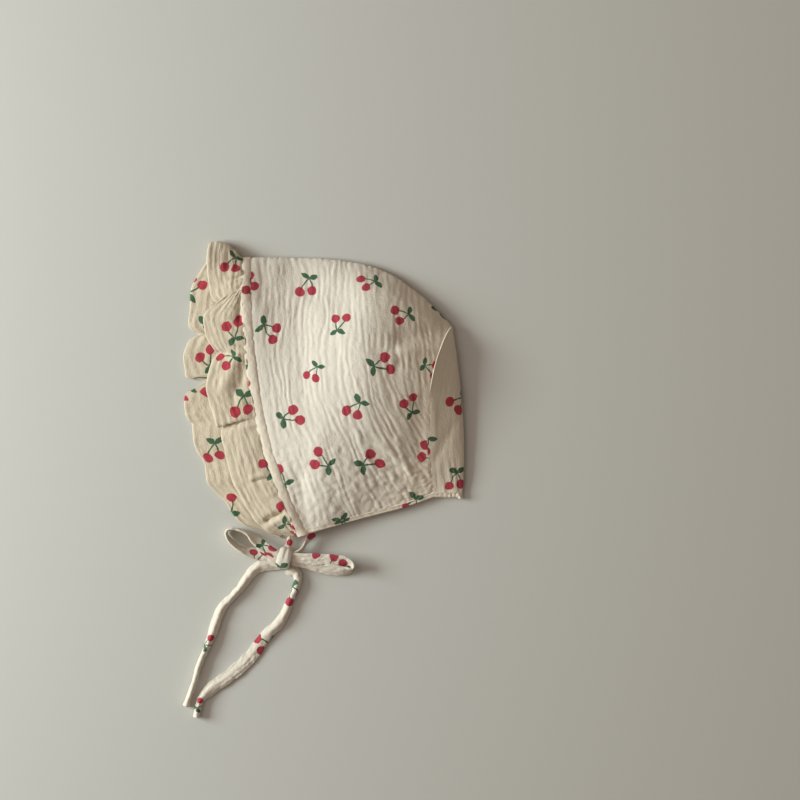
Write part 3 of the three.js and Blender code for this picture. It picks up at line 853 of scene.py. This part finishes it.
# face band
band = {
    "wide": 5.2, "gap": 0.4, "lap": 0.9, "overrun": 0.018, "columns": 16, "rows": 420, "long": 186,
    "thick": 1.5, "roll": 0.8, "rumple": 0.14,
}
bandChart = [
    {"x": -50.4, "y": 64.4, "turn": -60, "point": "rightCherry"},
    {"x": -48.9, "y": 3.6, "turn": 90, "point": "besideCherry"},
]


def beyondFace(girth, distance):
    zero = np.zeros(len(girth))
    edge = crownPoint(zero, girth)
    outward = unit(edge - crownPoint(zero + 0.02, girth))
    return edge + outward * distance[:, None]


def makeBand():
    columns, rows = band["columns"], band["rows"]
    piece, across, along = gridSheet("face_band_cloth", columns, rows)
    girth = along * (2 + 2 * band["overrun"]) - band["overrun"]
    wide = band["wide"] + 2 * band["lap"]
    distance = (1 - across) * wide - band["lap"] + band["gap"]
    base = beyondFace(girth, distance)
    normals = gridNormals(base, rows, columns)
    y = girth * band["long"]
    lift = 0.1 + band["roll"] * np.clip(1 - (2 * across - 1) ** 2, 0, 1) ** 0.8
    lift += band["rumple"] * softNoise(y, distance, 2.4, 3.2, 51)
    lift += band["rumple"] * softNoise(y, distance, 1.3, 1.8, 52)
    putVertices(piece, base + normals * lift[:, None])
    chartPrint(piece, distance, y, base, bandChart, [(2, 250, 40), (2, 310, 200)])
    giveWall(piece, band["thick"], -1)
    return finishCloth(piece, bandGauze, "face_band")


bandPiece = makeBand()
print("band", len(bandPiece.data.polygons))


# neck binding
binding = {
    "wide": 3.0, "lap": 0.8, "gap": 0.4, "columns": 10, "rows": 330, "long": 260, "thick": 1.3,
    "nape": (0.37, 0.63), "rumple": 0.2, "napeRumple": 0.35, "round": 0.55,
}
bindingChart = [
    {"x": 12.4, "y": -86.5, "turn": 100, "point": "joint"},
    {"x": 59.5, "y": -70.2, "turn": 60, "point": "joint", "size": 0.85},
]


def beyondNeck(place, distance):
    edge = np.empty((len(place), 3))
    inside = np.empty((len(place), 3))
    near, far = place < 1, place > 3
    back = ~near & ~far
    for picks, sideEdge, sideInside in ((near, 0, 0.02), (far, 2, 1.98)):
        u = np.where(near, place, 4 - place)[picks]
        edge[picks] = crownPoint(u, np.full(len(u), float(sideEdge)))
        inside[picks] = crownPoint(u, np.full(len(u), float(sideInside)))
    t = place[back] - 1
    edge[back] = panelPoint(t, np.zeros(len(t)))
    inside[back] = panelPoint(t, np.full(len(t), 0.02))
    return edge + unit(edge - inside) * distance[:, None]


def makeBinding():
    columns, rows = binding["columns"], binding["rows"]
    piece, across, along = gridSheet("neck_binding_cloth", columns, rows)
    wide = binding["wide"] + binding["lap"]
    distance = across * wide - binding["lap"] + binding["gap"]
    # rows follow the length: the crown's edge, the nape, the crown's edge again
    first, last = binding["nape"]
    place = np.where(along < last, 1 + (along - first) * 2 / (last - first), 3 + (along - last) / first)
    place = np.where(along < first, along / first, place)
    base = beyondNeck(np.clip(place, 0, 4), distance)
    normals = -gridNormals(base, rows, columns)
    y = along * binding["long"]
    nape = np.exp(-((along - 0.5) / 0.11) ** 4)
    edge = np.minimum(across, 1 - across) * wide
    lift = 0.3 + binding["round"] * np.sqrt(np.clip(edge / 0.9, 0, 1))
    lift += (binding["rumple"] + binding["napeRumple"] * nape) * softNoise(y, distance, 2.0, 4.5, 61)
    lift += 0.12 * softNoise(y, distance, 1.2, 2, 62)
    putVertices(piece, base + normals * lift[:, None])
    chartPrint(piece, distance, y, base, bindingChart, [(0, 200, 40)])
    editWhole(piece, flipFaces)
    giveWall(piece, binding["thick"], -1)
    return finishCloth(piece, bandGauze, "neck_binding")


bindingPiece = makeBinding()
print("binding", len(bindingPiece.data.polygons))


# ruffle
# root, reach, drift, rise and bow: the row's place along the band, how far its hem
# reaches out and leans to the top fold, the hem's height, and the bow of its middle
ruffleFolds = [
    (0, 4.5, -1, 3, 0), (0.033, 11, -2.5, 5, 0), (0.066, 16.5, -4.5, 6.5, 0),
    (0.094, 19.5, -4, 7.5, 0), (0.122, 21, -3.5, 8, 0), (0.155, 22.5, -3, 8.5, 0),
    (0.193, 23.5, -1.5, 9, 0), (0.226, 25, -1, 9, 0), (0.273, 24, -0.5, 9, 0),
    (0.325, 23.5, 0, 9, 0), (0.367, 23.5, 0.5, 8.5, 0), (0.39, 20, 3.5, 6, 0),
    (0.409, 25, -3, 10.5, 0), (0.433, 26, -1, 10.5, 0), (0.461, 27, 1.5, 10.5, 0),
    (0.499, 27.5, 2, 10.5, 0), (0.536, 27, 1.5, 10.5, 0), (0.569, 24.5, 2, 10, 0),
    (0.597, 21.5, 2, 8.5, 0), (0.616, 18.5, 2.5, 7, 0), (0.635, 21, 2.5, 9.5, 0),
    (0.663, 24, 3, 10.5, 0), (0.687, 25, 5.5, 10.5, 0), (0.715, 25.5, 7, 10.5, 0),
    (0.739, 23.5, 6, 10.5, 0), (0.762, 19.5, 4.5, 10.5, 0), (0.786, 14.5, 3.5, 10.5, 0),
    (0.809, 10, 2.5, 10.5, 0), (0.833, 5, 1, 10, 0), (0.842, 9.5, -2, 8, 0),
    (0.852, 15.5, -9.5, 8.5, 0), (0.871, 20, -9, 9, 0), (0.886, 21.5, -5.5, 9.5, 0),
    (0.903, 22, 0.5, 11.5, 0), (0.929, 22, 6, 12.5, 0), (1, 21, 10, 3.5, 5.5),
    (1.063, 21, 8, 2.5, 3), (1.091, 22.5, 6, 2.5, 0), (1.114, 25.5, 5, 2, 0),
    (1.144, 29, 4.5, 2, 0), (1.172, 31.5, 3, 2, 0), (1.21, 32, -1.5, 2, 0),
    (1.247, 33, -3, 2.5, 0), (1.266, 31, -4, 2, 0), (1.29, 25.5, -3.5, 1, 0),
    (1.308, 32, -2.5, 2, 0), (1.341, 35, -2.5, 2.5, 0), (1.379, 36, -4, 2.5, 0),
    (1.417, 35, -4.5, 2, 0), (1.435, 28.5, -3, 1.5, 0), (1.459, 23, -1, 1, 0),
    (1.482, 28.5, 1, 1.5, 0), (1.506, 36, 2.5, 2.5, 0), (1.53, 38, 2.5, 2.5, 0),
    (1.558, 38, 2, 2, 0), (1.586, 36.5, 3, 1.5, 0), (1.614, 34.5, 6, 1, 0),
    (1.642, 35, 6.5, 2, 0), (1.685, 35.5, 7.5, 2.5, 0), (1.718, 34, 8, 2, 0),
    (1.746, 31.5, 7, 1.5, 0), (1.774, 32.5, 7.5, 2, 0), (1.802, 33.5, 8.5, 2.5, 0),
    (1.835, 31.5, 10, 2, 0), (1.864, 28.5, 9, 1.5, 0), (1.887, 26, 8.5, 2, 0),
    (1.911, 25.5, 8.5, 2, 0), (1.934, 23.5, 7, 1.5, 0), (1.958, 20.5, 6.5, 1.5, 0),
    (1.976, 13, 2.5, 1, 0), (2, 4, -2, 1, 0),
]
# soft ridges and valleys of its upper side
ruffleDents = [
    {"from": (-31.9, -56.3), "to": (-46, -58.8), "width": 1.3, "height": -1.6},
    {"from": (-32, -54), "to": (-46, -56.6), "width": 2, "height": 0.8},
    {"from": (-27.9, -79.6), "to": (-37.4, -84.2), "width": 1.9, "height": -3},
    {"from": (-27.6, -82.4), "to": (-37, -88.4), "width": 2.2, "height": 1},
    {"from": (-57, 22), "to": (-66, 2), "width": 3, "height": 1.1},
    {"from": (-49.5, 18), "to": (-59.5, -5), "width": 3.6, "height": -1.3},
    {"from": (-54, 60), "to": (-54.5, 47), "width": 3, "height": -1.6},
]
ruffle = {
    "faces": 26, "round": 4, "rows": 460, "wall": 1.3, "deep": 28, "long": 470, "gap": 0.2,
    "crinkle": 0.95, "puckers": 0.2, "gathers": 0.7, "hemRoll": 0.35, "hemWaver": 0.5,
    "hemLowest": 0.8, "leave": 0.35, "rise": 0.3, "riseNear": 0.9, "riseFar": 3,
}
ruffleChart = [
    {"x": -58.7, "y": 83.5, "turn": 62, "size": 0.9},
    {"x": -59.5, "y": 38.2, "turn": -82},
    {"x": -63.1, "y": 21.1, "turn": 21, "size": 0.9},
    {"x": -54.0, "y": -8.0, "turn": 78, "size": 1.05},
    {"x": -40, "y": -48.1, "turn": -72, "point": "rightCherry"},
    {"x": -27.2, "y": -87.8, "turn": 150, "point": "joint", "size": 0.8},
    {"x": -28.3, "y": -76, "turn": -27, "point": "rightCherry"},
    {"x": -80.9, "y": 68.3, "turn": 225, "point": "leftCherry", "past": 240},
    {"x": -80.6, "y": 45.5, "turn": 183, "point": "leaves", "past": 240},
    {"x": -77.4, "y": 18.9, "turn": -66, "past": 240},
    {"x": -78.3, "y": 0.5, "turn": 73, "point": "leftCherry", "past": 240},
    {"x": -86.8, "y": 1.3, "turn": 13, "point": "leaves", "size": 0.8, "past": 240},
    {"x": -72.9, "y": -39, "turn": 83, "past": 240},
    {"x": -64.3, "y": -76.2, "turn": -75, "past": 240},
]


def ruffleMiddle(station, out):
    root, reach, drift, rise, bow = smoothThrough(ruffleFolds, station).T
    root = np.clip(root, 0, 2)
    start = beyondFace(root, np.full(len(root), band["wide"] + ruffle["gap"]))
    side = np.minimum(root, 2 - root)
    zero = np.zeros(len(root))
    up = crownPoint(zero, np.minimum(side + 0.01, 1)) - crownPoint(zero, np.maximum(side - 0.01, 0))
    up[:, 2] = 0
    up = unit(up)
    outward = np.stack([-up[:, 1], up[:, 0], zero], axis=1)
    s = station * ruffle["long"]
    reach = reach + ruffle["hemWaver"] * softNoise(s, zero, 6, 9, 71)
    hem = start + outward * reach[:, None] + up * drift[:, None]
    hem[:, 2] = np.maximum(rise, ruffle["hemLowest"])
    # near is the upper side of the frill and far its lower side, past the top fold
    near = 1 - softStep(root, 0.94, 1.02)
    far = softStep(root, 1.04, 1.12) * (1 - softStep(root, 1.9, 1.98))
    leaving = start + (hem - start) * ruffle["leave"] + up * bow[:, None]
    raised = ruffle["rise"] + ruffle["riseNear"] * near + ruffle["riseFar"] * far
    leaving[:, 2] = start[:, 2] * 0.8 + hem[:, 2] * 0.2 + raised
    arriving = (leaving + hem) / 2 + up * bow[:, None] / 2
    point = cubic([start, leaving, arriving, hem], out[:, None])
    dents = foldLifts(point[:, 0], point[:, 1], ruffleDents)
    point[:, 2] += dents * near * np.minimum(1, 8 * out) * (root < 1)
    return point


def makeRuffle():
    faces, bend, rows = ruffle["faces"], ruffle["round"], ruffle["rows"]
    columns = 2 * faces + bend
    piece, across, along = gridSheet("ruffle_cloth", columns, rows)
    row = np.rint(along * rows).astype(int)
    column = np.rint(across * columns).astype(int)
    # out to the hem on the upper face, round the folded edge, and back underneath
    back = np.where(column >= faces + bend, (columns - column) / faces, 1)
    out = np.where(column <= faces, column / faces, back)
    turn = np.clip((column - faces) / bend, 0, 1) * math.pi
    netOut, netAlong = np.meshgrid(np.linspace(0, 1, faces + 1), np.linspace(0, 1, rows + 1))
    middle = ruffleMiddle(netAlong.ravel(), netOut.ravel())
    normals = -gridNormals(middle, rows, faces)
    index = row * (faces + 1) + np.rint(out * faces).astype(int)
    # cloth length along the strip, measured two thirds of the way out
    net = middle.reshape(rows + 1, faces + 1, 3)
    length = lengthsAlong(net[:, faces * 2 // 3])
    print("ruffle length", round(length[-1]))
    x, y = netOut.ravel() * ruffle["deep"], np.repeat(length, faces + 1)
    lift = ruffle["crinkle"] * crinkled(x, y, 75) + ruffle["puckers"] * softNoise(x, y, 2.5, 3, 78)
    lift += ruffle["gathers"] * softNoise(y, x, 3.6, 30, 79) * (1 - softStep(x, 2, 16))
    base = middle + normals * lift[:, None]
    half = ruffle["wall"] / 2 * (0.85 + ruffle["hemRoll"] * hump(out - 1, 0.05))
    hemward = unit(net[:, -1] - net[:, -2])
    points = base[index] + normals[index] * (half * np.cos(turn))[:, None]
    points += hemward[row] * (half * np.sin(turn))[:, None]
    putVertices(piece, points)
    spots = middle[index] + normals[index] * np.cos(turn)[:, None]
    chartPrint(piece, out * ruffle["deep"], length[row], spots, ruffleChart)
    editWhole(piece, mergeDoubles, fillHoles, faceOutwards)
    return finishCloth(piece, ruffleGauze, "ruffle")


rufflePiece = makeRuffle()
print("ruffle", len(rufflePiece.data.polygons))


# surface and light
floorLook = {"side": 6, "colour": (0.62, 0.61, 0.55, 1), "roughness": 0.85, "specular": 0.2}


def makeFloor():
    deselectAll()
    bpy.ops.mesh.primitive_plane_add(size=floorLook["side"], location=(0, 0, 0))
    floor = bpy.context.object
    floor.name = "floor"
    material, tree, shader = newMaterial("pale floor")
    feed(tree, shader, {"Base Color": floorLook["colour"], "Roughness": floorLook["roughness"],
                        "Specular IOR Level": floorLook["specular"]})
    floor.data.materials.append(material)


lights = {
    "room": {"strength": 0.215, "colour": (1, 0.846, 0.76)},
    "window": {"at": (-1.22, 0.12, 0.54), "wide": 0.62, "tall": 0.48, "energy": 21.2,
               "colour": (0.859, 0.969, 1)},
    "ceiling": {"at": (-1.2, 0.2, 1.7), "wide": 1.6, "tall": 1.6, "energy": 8.6,
                "colour": (1, 0.846, 0.76)},
}


def makeLights():
    world = bpy.data.worlds.new("soft room")
    bpy.context.scene.world = world
    world.use_nodes = True
    room = lights["room"]
    background = world.node_tree.nodes["Background"]
    feed(world.node_tree, background, {"Color": (*room["colour"], 1), "Strength": room["strength"]})
    for name in ("window", "ceiling"):
        lamp = lights[name]
        deselectAll()
        bpy.ops.object.light_add(type="AREA", location=lamp["at"])
        made = bpy.context.object
        made.name = name
        made.data.shape = "RECTANGLE"
        made.data.size, made.data.size_y = lamp["wide"], lamp["tall"]
        made.data.energy = lamp["energy"]
        made.data.color = lamp["colour"]
        x, y, z = lamp["at"]
        made.rotation_euler = (math.atan2(math.hypot(x, y), z), 0, math.atan2(-y, -x) - math.pi / 2)


makeFloor()
makeLights()
print("floor and", len(bpy.data.lights), "lights")
bpy.context.view_layer.update()
